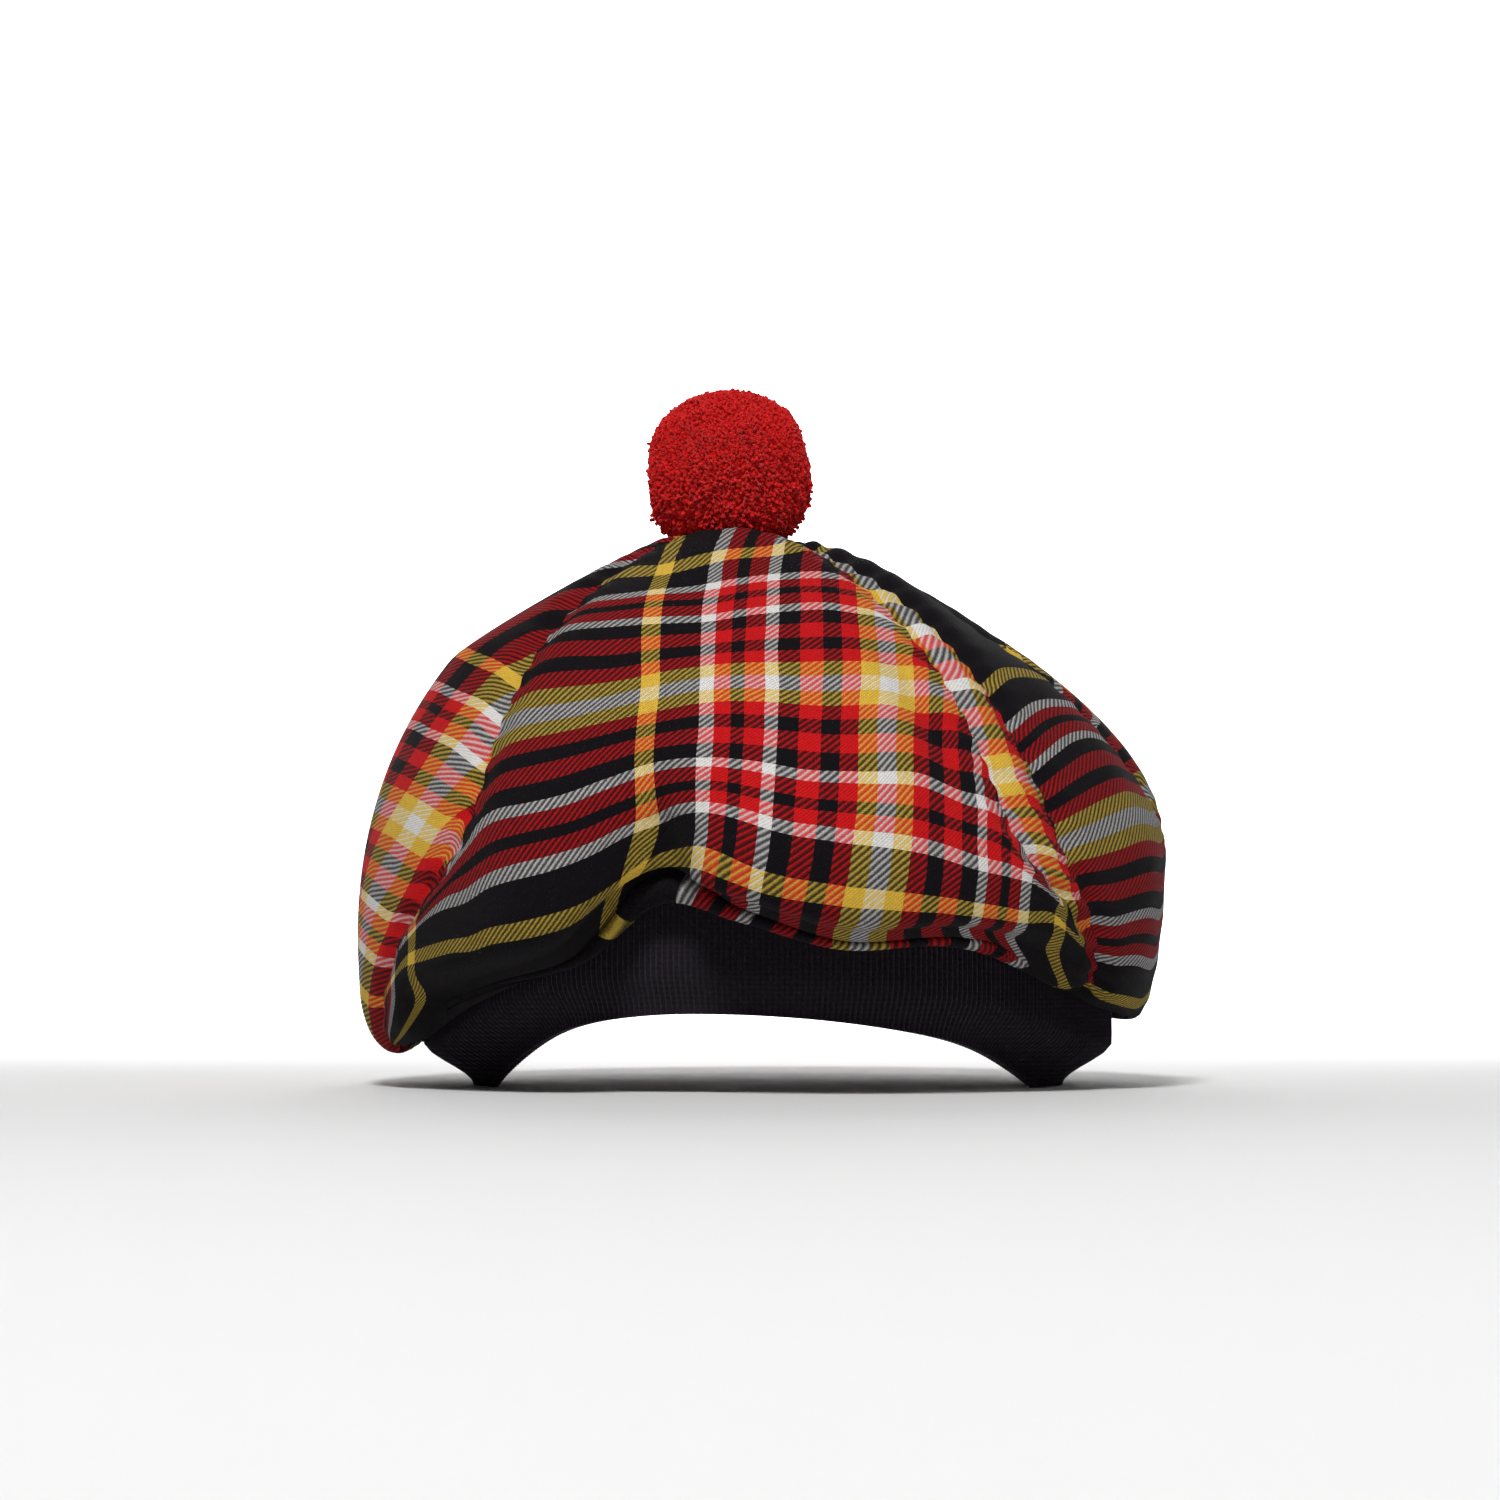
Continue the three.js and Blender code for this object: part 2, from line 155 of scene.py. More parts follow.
def band_radius(azimuth):
    """Distance from the axis to the oval: the positive root of its quadratic."""
    dx, dy = np.sin(np.radians(azimuth)), -np.cos(np.radians(azimuth))
    a = dx**2 / BAND_HALF_WIDTH**2 + dy**2 / BAND_HALF_DEPTH**2
    b = -2 * dy * BAND_CENTRE_Y / BAND_HALF_DEPTH**2
    c = BAND_CENTRE_Y**2 / BAND_HALF_DEPTH**2 - 1
    return (-b + np.sqrt(b * b - 4 * a * c)) / (2 * a)


def arch_height(azimuth):
    """Height of the free edge: the higher of two parabolas, one in front, one behind."""
    azimuth = turned(azimuth)
    off = azimuth - ARCH_CENTRE
    half = np.where(off < 0, ARCH_HALF_LEFT, ARCH_HALF_RIGHT)
    front = ARCH_FRONT * np.clip(1 - (off / half) ** 2, 0, 1)
    back = ARCH_BACK * np.clip(1 - ((180 - np.abs(azimuth)) / ARCH_HALF_BACK) ** 2, 0, 1)
    return np.maximum(front, back)


def band_height(azimuth):
    """Band height, from its front value to its side value."""
    return BAND_HEIGHT_FRONT + (BAND_HEIGHT_SIDE - BAND_HEIGHT_FRONT) * side_share(azimuth)


def band_outer(azimuth, rise):
    """Outer radius: the oval less the tuck, which eases out over the tuck's rise."""
    tuck = TUCK_FRONT + (TUCK_SIDE - TUCK_FRONT) * side_share(azimuth)
    return band_radius(azimuth) - tuck * (1 - smooth(rise / TUCK_RISE))


ring = np.linspace(-180, 180, 721)
edge = band_outer(ring, 0 * ring)
edge_xy = np.stack([edge * np.sin(np.radians(ring)), edge * np.cos(np.radians(ring))], -1)
edge_length = np.linalg.norm(np.diff(edge_xy, axis=0), axis=1).sum()
print("free edge is", round(float(edge_length)), "mm round")

# %% [markdown]
# Each meridian of the crown has three runs: a shoulder shaped as part of a superellipse,
# a belly that turns under, and a run back up to the band. The crown's middle leans towards
# the wearer's right and dips a little under the pompom.

# %% The crown before its folds
AZIMUTH_STEP, SHARE_STEP = 0.2, 0.002


def plain_crown(azimuth, t):
    """Point of the crown at an azimuth and a share t of its meridian, middle 0, band 1."""
    azimuth, t = np.broadcast_arrays(np.asarray(azimuth, float), np.asarray(t, float))
    belly_radius, belly_height = around("belly_radius", azimuth), around("belly_height", azimuth)
    hem_radius, hem_height = around("hem_radius", azimuth), around("hem_height", azimuth)
    power = around("power", azimuth)
    join_radius = band_radius(azimuth) + LAP_GAP
    join_height = arch_height(azimuth) + band_height(azimuth) - LAP_HEIGHT
    phi = np.clip(t / BELLY, 0, 1) * np.pi / 2
    psi = np.clip((t - BELLY) / (HEM - BELLY), 0, 1) * np.pi / 2
    chi = np.clip((t - HEM) / (1 - HEM), 0, 1) * np.pi / 2
    lean = np.cos(phi) ** (2 / power)
    top_r = belly_radius * np.sin(phi) ** (2 / power)
    top_z = belly_height + (APEX_HEIGHT - belly_height) * lean
    top_z = top_z - DIMPLE_DEPTH * (1 - smooth(top_r / DIMPLE_RADIUS))
    mid_r = hem_radius + (belly_radius - hem_radius) * np.cos(psi)
    mid_z = belly_height - (belly_height - hem_height) * np.sin(psi)
    low_r = hem_radius - (hem_radius - join_radius) * np.sin(chi)
    low_z = hem_height + (join_height - hem_height) * (1 - np.cos(chi))
    runs = [t < BELLY, t < HEM]
    r = np.select(runs, [top_r, mid_r], low_r)
    z = np.select(runs, [top_z, mid_z], low_z)
    lean = np.where(t < BELLY, lean, 0.0)
    angle = np.radians(azimuth)
    return np.stack([r * np.sin(angle) + APEX_X * lean, -r * np.cos(angle), z], -1)


def outward(surface, azimuth, t):
    """Unit normal: the cross product of the steps along and across the surface."""
    across = surface(azimuth + AZIMUTH_STEP, t) - surface(azimuth - AZIMUTH_STEP, t)
    along = (surface(azimuth, np.minimum(t + SHARE_STEP, 1))
             - surface(azimuth, np.maximum(t - SHARE_STEP, SHARE_STEP)))
    n = np.cross(along, across)
    return n / np.maximum(np.linalg.norm(n, axis=-1, keepdims=True), 1e-9)


print("top of the crown at", plain_crown(0.0, 0.3).round(1), "mm, azimuth 0, share 0.3")

# %% [markdown]
# Sewing shapes the cloth as much as gravity does. Each seam lies in a soft valley, and the
# cloth puckers beside it. Larger folds are rows of a table: where each starts and ends, how
# wide it is and how deep. The narrow strip is a leaf: its front seam leaves the crown's
# middle, runs beside the other seam, and closes in on it again below the belly. Puckers,
# ripples, one narrow crease and the roll of the front hem are in the visible cloth alone.

# %% Seams and folds
SEAM_SINK, SEAM_SOFTNESS = 2.2, 5.0
PUCKER_DEPTH, PUCKER_LENGTH, PUCKER_REACH = 0.45, 8.5, 9.0
PUCKER_DRIFT, DRIFT_LENGTH = 1.7, 19
# Ripples are two crossed waves. Each row: degrees for a radian of the wave, radians along.
RIPPLE_DEPTH = 0.5
RIPPLES = (7.3, 9), (23, 13)
MERIDIAN_LENGTH = 255.0
# Seams and puckers fade in below the crown's middle and out again above the band.
FADE_IN, FADE_OUT, FADE_OUT_RUN = 0.15, 0.86, 0.10
# The strip's width in degrees, where it opens, and how much and where it closes again.
STRIP_DEGREES = 9.2
OPEN_TOP, OPEN_RUN = 0.02, 0.14
CLOSED_PART, CLOSE_TOP, CLOSE_RUN = 0.84, 0.60, 0.20
# The shares of the meridian over which a seam sweeps to its lower azimuth.
SWEEP_TOP, SWEEP_RUN = 0.48, 0.34
SEAMS = {
    # name: (azimuth on the crown, azimuth below the belly, how late it sweeps there)
    "left": (-40, -78, 2.2),
    "strip": (43.4, 56, 3.4),
    "right": (73, 87, 0.5),
    "rear_right": (137, 139, 2.2),
    "rear_left": (-164, -164, 2.2),
    "far_left": (-104, -107, 2.2),
}
FOLDS = [
    # azimuth at its top, azimuth at its foot, share at its top, at its foot, half width, depth
    (-19, -14, 0.50, 0.90, 7, -5.0),
    (-34, -31, 0.45, 0.86, 9, 3.0),
    (6, 8, 0.45, 0.86, 12, 2.5),
    (26, 28, 0.34, 0.62, 4.5, -3.5),
    (60, 64, 0.35, 0.86, 9, 2.5),
    (104, 112, 0.50, 0.92, 8, -3.0),
    (158, 164, 0.45, 0.92, 9, -3.0),
    (-95, -95, 0.04, 0.37, 45, -9.5),
    (82, 82, 0.34, 0.66, 28, 2.5),
    (-146, -140, 0.45, 0.92, 9, -3.5),
]
# A narrow crease at the front hem, deeper than the packed fold it lies in.
CREASE_AZIMUTH, CREASE_HALF, CREASE_DEPTH = -15.0, 3.2, 5.0
CREASE_TOP, CREASE_FOOT = 0.64, 0.90
# Below its last yellow stripe the front hem rolls under more sharply than the packed one.
# The roll starts a little lower at the crease, and it fades below and at both sides.
ROLL_TOP, ROLL_RUN, ROLL_DEPTH = 0.738, 0.045, 7.5
ROLL_DROP, ROLL_DROP_HALF = 0.025, 6.0
ROLL_FOOT, ROLL_FOOT_RUN = 0.85, 0.09
ROLL_LEFT, ROLL_LEFT_RUN = -66, 14
ROLL_RIGHT, ROLL_RIGHT_RUN = 32, 20


def seam_azimuth(name, t):
    """Azimuth of a seam at a share of the meridian, eased from its upper to its lower value."""
    if name == "front":
        opened = np.clip((t - OPEN_TOP) / OPEN_RUN, 0, 1)
        leaf = opened * (1 - CLOSED_PART * smooth((t - CLOSE_TOP) / CLOSE_RUN))
        return seam_azimuth("strip", t) - STRIP_DEGREES * leaf
    upper, lower, sweep = SEAMS[name]
    return upper + (lower - upper) * smooth((t - SWEEP_TOP) / SWEEP_RUN) ** sweep


def crown(azimuth, t, fine=True):
    """The folded crown: the plain one moved along its normal by folds, seams and puckers."""
    azimuth, t = np.broadcast_arrays(np.asarray(azimuth, float), np.asarray(t, float))
    point = plain_crown(azimuth, t)
    shift = np.zeros(azimuth.shape)
    for top_azimuth, foot_azimuth, top, foot, half_width, depth in FOLDS:
        s = np.clip((t - top) / (foot - top), 0, 1)
        off = turned(azimuth - top_azimuth - (foot_azimuth - top_azimuth) * s) / half_width
        shift += depth * np.sin(np.pi * s) * np.exp(-off * off)
    reach = np.hypot(point[..., 0] - APEX_X / 2, point[..., 1])
    fade = smooth(t / FADE_IN) * (1 - smooth((t - FADE_OUT) / FADE_OUT_RUN))
    run = t * MERIDIAN_LENGTH
    for number, name in enumerate([*SEAMS, "front"]):
        off = np.radians(turned(azimuth - seam_azimuth(name, t))) * reach
        shift -= SEAM_SINK * np.exp(-(off / SEAM_SOFTNESS) ** 2) * fade
        if fine:
            drift = PUCKER_DRIFT * np.sin(run / DRIFT_LENGTH + number)
            wave = np.sin(2 * np.pi * run / PUCKER_LENGTH + drift + number)
            near = np.exp(-(off / PUCKER_REACH) ** 2)
            shift += PUCKER_DEPTH * wave * near * fade
    if fine:
        s = np.clip((t - CREASE_TOP) / (CREASE_FOOT - CREASE_TOP), 0, 1)
        off = turned(azimuth - CREASE_AZIMUTH) / CREASE_HALF
        shift -= CREASE_DEPTH * np.sin(np.pi * s) ** 2 * np.exp(-off * off)
        drop = np.exp(-(turned(azimuth - CREASE_AZIMUTH) / ROLL_DROP_HALF) ** 2)
        lip = ROLL_TOP + ROLL_DROP * drop
        roll = smooth((t - lip) / ROLL_RUN) * (1 - smooth((t - ROLL_FOOT) / ROLL_FOOT_RUN))
        left = smooth((azimuth - ROLL_LEFT) / ROLL_LEFT_RUN)
        right = 1 - smooth((azimuth - ROLL_RIGHT) / ROLL_RIGHT_RUN)
        shift -= ROLL_DEPTH * roll * (left * right)
        ripple = np.prod([np.sin(azimuth / wide + long * t) for wide, long in RIPPLES], axis=0)
        shift += RIPPLE_DEPTH * ripple * fade
    return point + outward(plain_crown, azimuth, t) * shift[..., None]


print(len(FOLDS), "folds and", len(SEAMS) + 1, "seams")

# %% [markdown]
# Grids of points become meshes in one call. A cloth panel is two grids, outside and
# inside, joined along their four edges, so it is a closed body with a real wall. Whole
# arrays go in with foreach_set, which is much faster than adding faces one by one.

# %% From grids to meshes
SHARP_DEGREES = 50


def mesh_piece(name, points, quads, uv=None):
    """A mesh object from points in millimetres and an array of four corners for each face."""
    mesh = bpy.data.meshes.new(name)
    mesh.vertices.add(len(points))
    mesh.vertices.foreach_set("co", ((points + AXIS) * MM).astype(np.float32).ravel())
    corners = quads.astype(np.int32)
    mesh.loops.add(corners.size)
    mesh.loops.foreach_set("vertex_index", corners.ravel())
    mesh.polygons.add(len(corners))
    starts = np.arange(len(corners), dtype=np.int32) * corners.shape[1]
    mesh.polygons.foreach_set("loop_start", starts)
    mesh.polygons.foreach_set("use_smooth", np.ones(len(corners), bool))
    if uv is not None:
        layer = mesh.uv_layers.new(name="cloth")
        layer.data.foreach_set("uv", uv[corners.ravel()].astype(np.float32).ravel())
    mesh.update(calc_edges=True)
    mesh.validate()
    mesh.set_sharp_from_angle(angle=np.radians(SHARP_DEGREES))
    piece = bpy.data.objects.new(name, mesh)
    bpy.context.scene.collection.objects.link(piece)
    return piece


def grid_quads(rows, columns, closed=False):
    """Corners of each cell of a grid, going down a row and then across a column."""
    i = np.arange(rows - 1)[:, None]
    j = np.arange(columns if closed else columns - 1)[None, :]
    k = (j + 1) % columns
    cell = [i * columns + j, (i + 1) * columns + j, (i + 1) * columns + k, i * columns + k]
    return np.stack([np.broadcast_to(c, (rows - 1, j.shape[1])) for c in cell], -1).reshape(-1, 4)


def panel_quads(rows, columns):
    """Outer grid, inner grid turned over, and a wall along each of the four edges."""
    outer = grid_quads(rows, columns)
    shift = rows * columns
    inner = outer[:, ::-1] + shift
    index = np.arange(shift).reshape(rows, columns)
    rims = [index[:, 0][::-1], index[-1][::-1], index[:, -1], index[0]]
    walls = [np.stack([e[:-1], e[1:], e[1:] + shift, e[:-1] + shift], -1) for e in rims]
    return np.concatenate([outer, inner, *walls])


print("a 3 by 3 panel has", len(panel_quads(3, 3)), "faces")

# %% [markdown]
# A printed pattern could be a picture, but a tartan is a woven rule: the same list of
# stripes runs both ways. So each vertex stores where it lies on its flat piece of cloth.
# A gore wraps a dome, and the map unrolls it as a narrow cone, ring by ring, so the
# stripes stay straight in the cloth and bend only where the cloth does.

# %% Where each point lies on its flat cloth
TABLE_STEP, TABLE_ROWS = 1.5, 500
TABLE_AZIMUTHS = np.arange(-180.0, 181.0, TABLE_STEP)
TABLE_SHARES = np.linspace(0.0, 1.0, TABLE_ROWS + 1)
LEAN_POWER = 1.1
SMOOTHED_ROWS = 15
PLATE_UNIT, PLATE_SLACK = 100.0, 0.02


def meridian_tables():
    """Arc length, ring radius and its rate of growth, for a grid of azimuths and shares."""
    azimuth, t = np.meshgrid(TABLE_AZIMUTHS, TABLE_SHARES, indexing="ij")
    point = crown(azimuth, np.maximum(t, 1e-4), fine=False)
    step = np.linalg.norm(np.diff(point, axis=1), axis=-1)
    length = np.concatenate([np.zeros((len(azimuth), 1)), np.cumsum(step, axis=1)], axis=1)
    phi = np.clip(t / BELLY, 0, 1) * np.pi / 2
    lean = np.where(t < BELLY, np.cos(phi) ** LEAN_POWER, 0.0)
    radius = np.hypot(point[..., 0] - APEX_X * lean, point[..., 1])
    growth = np.gradient(radius, axis=1) / np.maximum(np.gradient(length, axis=1), 1e-6)
    kernel = np.ones(SMOOTHED_ROWS) / SMOOTHED_ROWS
    padded = np.pad(growth, ((0, 0), (SMOOTHED_ROWS // 2, SMOOTHED_ROWS // 2)), mode="edge")
    growth = np.apply_along_axis(lambda line: np.convolve(line, kernel, "valid"), 1, padded)
    return length, radius, growth


LENGTH_TABLE, RADIUS_TABLE, GROWTH_TABLE = meridian_tables()


def look_up(table, azimuth, t):
    """A table's value between its entries, weighted by nearness both ways."""
    a = (turned(azimuth) + 180) / TABLE_STEP
    b = np.clip(t, 0, 1) * TABLE_ROWS
    i = np.minimum(a.astype(int), len(TABLE_AZIMUTHS) - 2)
    j = np.minimum(b.astype(int), TABLE_ROWS - 1)
    x, y = a - i, b - j
    near = table[i, j] * (1 - y) + table[i, j + 1] * y
    far = table[i + 1, j] * (1 - y) + table[i + 1, j + 1] * y
    return near * (1 - x) + far * x


def flat_place(azimuth, t, centre):
    """Across and along on the flat cloth: sine and cosine runs round the cone's point."""
    azimuth, t = np.broadcast_arrays(np.asarray(azimuth, float), np.asarray(t, float))
    length = look_up(LENGTH_TABLE, azimuth, t)
    radius = look_up(RADIUS_TABLE, azimuth, t)
    growth = look_up(GROWTH_TABLE, azimuth, t)
    off = np.radians(turned(azimuth - centre))
    turn = off * growth
    across = radius * off * np.sinc(turn / np.pi)
    along = length - radius * off * (turn / 2) * np.sinc(turn / 2 / np.pi) ** 2
    return np.stack([across, along], -1)


def plate_kernel(a, b):
    """r squared times log r squared, between each pair, with r in units of PLATE_UNIT."""
    r2 = ((a[:, None] - b[None]) ** 2).sum(-1) / PLATE_UNIT**2
    return r2 * np.log(r2 + 1e-9)


def thin_plate(centres, values, places):
    """Value at each place: a plane plus the sum of weighted kernels round the centres."""
    count = len(centres)
    plane = np.column_stack([np.ones(count), centres / PLATE_UNIT])
    system = np.zeros((count + 3, count + 3))
    system[:count, :count] = plate_kernel(centres, centres) + PLATE_SLACK * np.eye(count)
    system[:count, count:] = plane
    system[count:, :count] = plane.T
    weights = np.linalg.solve(system, np.concatenate([values, np.zeros(3)]))
    result = np.column_stack([np.ones(len(places)), places / PLATE_UNIT]) @ weights[count:]
    return result + plate_kernel(places, centres) @ weights[:count]


def cloth_place(azimuth, t, centre, marks, face):
    """Place on the tartan: the flat place, pulled smoothly until each mark is met."""
    azimuth, t = np.broadcast_arrays(azimuth, t)
    flat = flat_place(azimuth, t, centre).reshape(-1, 2) * [face, 1]
    place = np.empty_like(flat)
    for side in (0, 1):
        known = np.array([[m[0], m[1], m[2 + side]] for m in marks if m[2 + side] is not None])
        seat = flat_place(known[:, 0], known[:, 1], centre) * [face, 1]
        pull = known[:, 2] - seat[:, side]
        place[:, side] = flat[:, side] + (
            thin_plate(seat, pull, flat) if len(pull) > 3 else pull.mean())
    return place.reshape(*azimuth.shape, 2) / 1000.0


front_row = int(180 / TABLE_STEP)
print("front meridian is", LENGTH_TABLE[front_row, -1].round(1), "mm long")

# %% [markdown]
# In the shader editor this cloth would be dozens of joined boxes. Written as sums and
# products it stays readable: one small class wraps a socket, and each operator adds the
# Math node that does it. Colours are mixed by Mix nodes, which keep them coloured.

# %% Shader sums and products
BUMP_DISTANCE = 0.0003
SPECULAR = 0.08


class Value:
    """A socket of a material, which can be added to, scaled and divided."""

    def __init__(self, finish, socket):
        self.finish = finish
        self.socket = socket

    def math(self, operation, *others, clamp=False):
        """The result of one Math node."""
        settings = {"operation": operation, "use_clamp": clamp}
        return self.finish.node("ShaderNodeMath", settings, dict(enumerate((self, *others))))

    def __add__(self, other):
        return self.math("ADD", other)

    def __sub__(self, other):
        return self.math("SUBTRACT", other)

    def __mul__(self, other):
        return self.math("MULTIPLY", other)

    def __truediv__(self, other):
        return self.math("DIVIDE", other)

    def clamped(self):
        """Held between 0 and 1."""
        return self.math("ADD", 0.0, clamp=True)

    def zigzag(self, half):
        """Up and down between 0 and 1, once every two halves."""
        return self.math("PINGPONG", half) / half


class Finish:
    """A material and its nodes."""

    def __init__(self, name, roughness, sheen, sheen_roughness=0.5):
        self.material = bpy.data.materials.new(name)
        self.material.use_nodes = True
        self.tree = self.material.node_tree
        self.shader = self.tree.nodes["Principled BSDF"]
        self.shader.inputs["Roughness"].default_value = roughness
        self.shader.inputs["Sheen Weight"].default_value = sheen
        self.shader.inputs["Sheen Roughness"].default_value = sheen_roughness
        self.shader.inputs["Specular IOR Level"].default_value = SPECULAR

    def node(self, kind, settings=None, inputs=None, output=0):
        """Add a node: its settings first, then the values or links of its sockets."""
        made = self.tree.nodes.new(kind)
        for key, value in (settings or {}).items():
            if key == "stops":
                ramp = made.color_ramp
                ramp.interpolation = "CONSTANT"
                while len(ramp.elements) > 1:
                    ramp.elements.remove(ramp.elements[-1])
                ramp.elements[0].position, ramp.elements[0].color = value[0][0], (*value[0][1], 1)
                for place, colour in value[1:]:
                    ramp.elements.new(place).color = (*colour, 1)
            else:
                setattr(made, key, value)
        for key, value in (inputs or {}).items():
            socket = made.inputs[key]
            if isinstance(value, Value):
                self.tree.links.new(value.socket, socket)
            else:
                socket.default_value = value
        return Value(self, made.outputs[output])

    def mix(self, share, first, second, blend="MIX"):
        """The first colour at share 0, blended into the second at share 1."""
        settings = {"data_type": "RGBA", "blend_type": blend}
        return self.node("ShaderNodeMix", settings, {0: share, 6: first, 7: second}, output=2)

    def noise(self, place, scale, detail=2.0):
        """Soft random values about 0.5, as many to the metre as the scale says."""
        inputs = {"Vector": place, "Scale": scale, "Detail": detail}
        return self.node("ShaderNodeTexNoise", None, inputs)

    def grey(self, value):
        """A colour whose red, green and blue are one value."""
        inputs = {0: value, 1: value, 2: value}
        return self.node("ShaderNodeCombineXYZ", None, inputs)

    def set(self, socket, value):
        """Link a value to a socket of the surface shader."""
        self.tree.links.new(value.socket, self.shader.inputs[socket])

    def bump(self, height, strength):
        """Tilt the shading as relief would, where a height of 1 is the bump distance."""
        inputs = {"Height": height, "Distance": BUMP_DISTANCE, "Strength": strength}
        self.set("Normal", self.node("ShaderNodeBump", None, inputs))


print("operators:", [name for name in vars(Value) if name.startswith("__")])

# %% [markdown]
# This tartan's list of stripes is mirrored at both of its ends, so a zigzag of the place
# on the cloth walks the list forwards and back. A 2/2 twill shows warp and weft in
# turn along diagonals, so one slanted zigzag decides which of the two stripes is on top.

# %% The tartan
THREAD = 0.55
HALF_SETT = 107.0
# How far the stripes wander from their places, in millimetres, as thread does in worn wool.
WANDER, WARP_WANDER_SCALE, WEFT_WANDER_SCALE = 1.6, 45.0, 38.0
# How sharply one thread gives way to the next, and how far fuzz moves that edge.
TWILL_CONTRAST, FUZZ_SHIFT = 1.7, 0.9
FUZZ_SCALE, GRAIN_SCALE = 2600.0, 900.0
# How far painted shade, warp and weft colours multiplied, darkens the colour on top where threads
# cross, and how far the thread below shows between threads.
CROSSING_SHADE_PART, LOWER_PART = 0.40, 0.10
# Brightness and roughness: their least values and what twill and grain add to them.
# The twill's share is painted shade, darker in each groove; the grain's is random tone.
BRIGHT_LEAST, TWILL_GROOVE_SHADE, BRIGHT_GRAIN = 0.62, 0.5, 0.25
ROUGH_LEAST, ROUGH_GRAIN = 0.82, 0.16
THREAD_RELIEF, TWILL_RELIEF, FUZZ_RELIEF = 0.25, 1.2, 0.5
RED, YELLOW = (0.74, 0.016, 0.020), (0.88, 0.62, 0.10)
WHITE, BLACK = (0.90, 0.88, 0.86), (0.0115, 0.0092, 0.0120)
STRIPES = [
    # where the stripe ends, in millimetres from the middle of the white, and its colour
    (2.8, WHITE), (8.2, YELLOW), (13.2, RED), (18.2, BLACK), (24.2, RED), (29.4, BLACK),
    (32.9, WHITE), (37.9, RED), (41.0, BLACK), (45.5, RED), (49.0, WHITE), (60.0, BLACK),
    (64.8, YELLOW), (HALF_SETT, BLACK),
]


def tartan_finish():
    """Warp and weft ramps of the same stripes, one above the other along twill diagonals."""
    finish = Finish("tartan_wool", roughness=0.9, sheen=0.02)
    place = finish.node("ShaderNodeUVMap", {"uv_map": "cloth"})
    body = finish.node("ShaderNodeTexCoord", output=3)
    across = finish.node("ShaderNodeSeparateXYZ", None, {0: place}, output=0) * 1000.0
    along = finish.node("ShaderNodeSeparateXYZ", None, {0: place}, output=1) * 1000.0
    across = across + (finish.noise(body, WARP_WANDER_SCALE) - 0.5) * WANDER
    along = along + (finish.noise(body, WEFT_WANDER_SCALE) - 0.5) * WANDER
    starts = [0.0] + [end / HALF_SETT for end, _ in STRIPES[:-1]]
    stops = list(zip(starts, [colour for _, colour in STRIPES]))
    warp = finish.node("ShaderNodeValToRGB", {"stops": stops}, {0: across.zigzag(HALF_SETT)})
    weft = finish.node("ShaderNodeValToRGB", {"stops": stops}, {0: along.zigzag(HALF_SETT)})
    fuzz = finish.noise(body, FUZZ_SCALE, detail=1.0)
    ridge = (across + along + (fuzz - 0.5) * FUZZ_SHIFT).zigzag(2 * THREAD)
    above = ((ridge - 0.5) * TWILL_CONTRAST + 0.5).clamped()
    colour = finish.mix(above, weft, warp)
    lower = finish.mix(above, warp, weft)
    grain = finish.noise(body, GRAIN_SCALE)
    # Painted shade: darker in each twill groove, where one thread gives way to the next, with
    # random grain on top.
    groove_shade_and_grain = (above - 0.5).math("ABSOLUTE") * TWILL_GROOVE_SHADE + grain * BRIGHT_GRAIN + BRIGHT_LEAST
    # Painted shade where the threads cross: the warp and weft colours multiplied.
    crossing_shade = finish.mix(1.0, weft, warp, blend="MULTIPLY")
    colour = finish.mix(LOWER_PART, colour, lower)
    colour = finish.mix(CROSSING_SHADE_PART, colour, crossing_shade)
    colour = finish.mix(1.0, colour, finish.grey(groove_shade_and_grain), blend="MULTIPLY")
    finish.set("Base Color", colour)
    finish.set("Roughness", grain * ROUGH_GRAIN + ROUGH_LEAST)
    warp_relief = across.zigzag(THREAD / 2) * THREAD_RELIEF
    weft_relief = along.zigzag(THREAD / 2) * THREAD_RELIEF
    twill_relief = (above - 0.5).math("ABSOLUTE") * TWILL_RELIEF
    height = twill_relief + warp_relief + weft_relief + fuzz * FUZZ_RELIEF
    finish.bump(height, strength=0.7)
    return finish


tartan = tartan_finish()
print("sett of", 2 * HALF_SETT, "mm from", len(STRIPES), "stripes")

# %% [markdown]
# The gores are cut one by one, so their stripes don't meet at the seams. Sewn and slumped
# wool also creeps, so a flat map alone would lay the stripes too straight. The marks are
# points of the crown whose stripes are known. A thin plate, bent as little as it can be,
# passes near all of them, so the stripes run as smoothly as in real cloth.

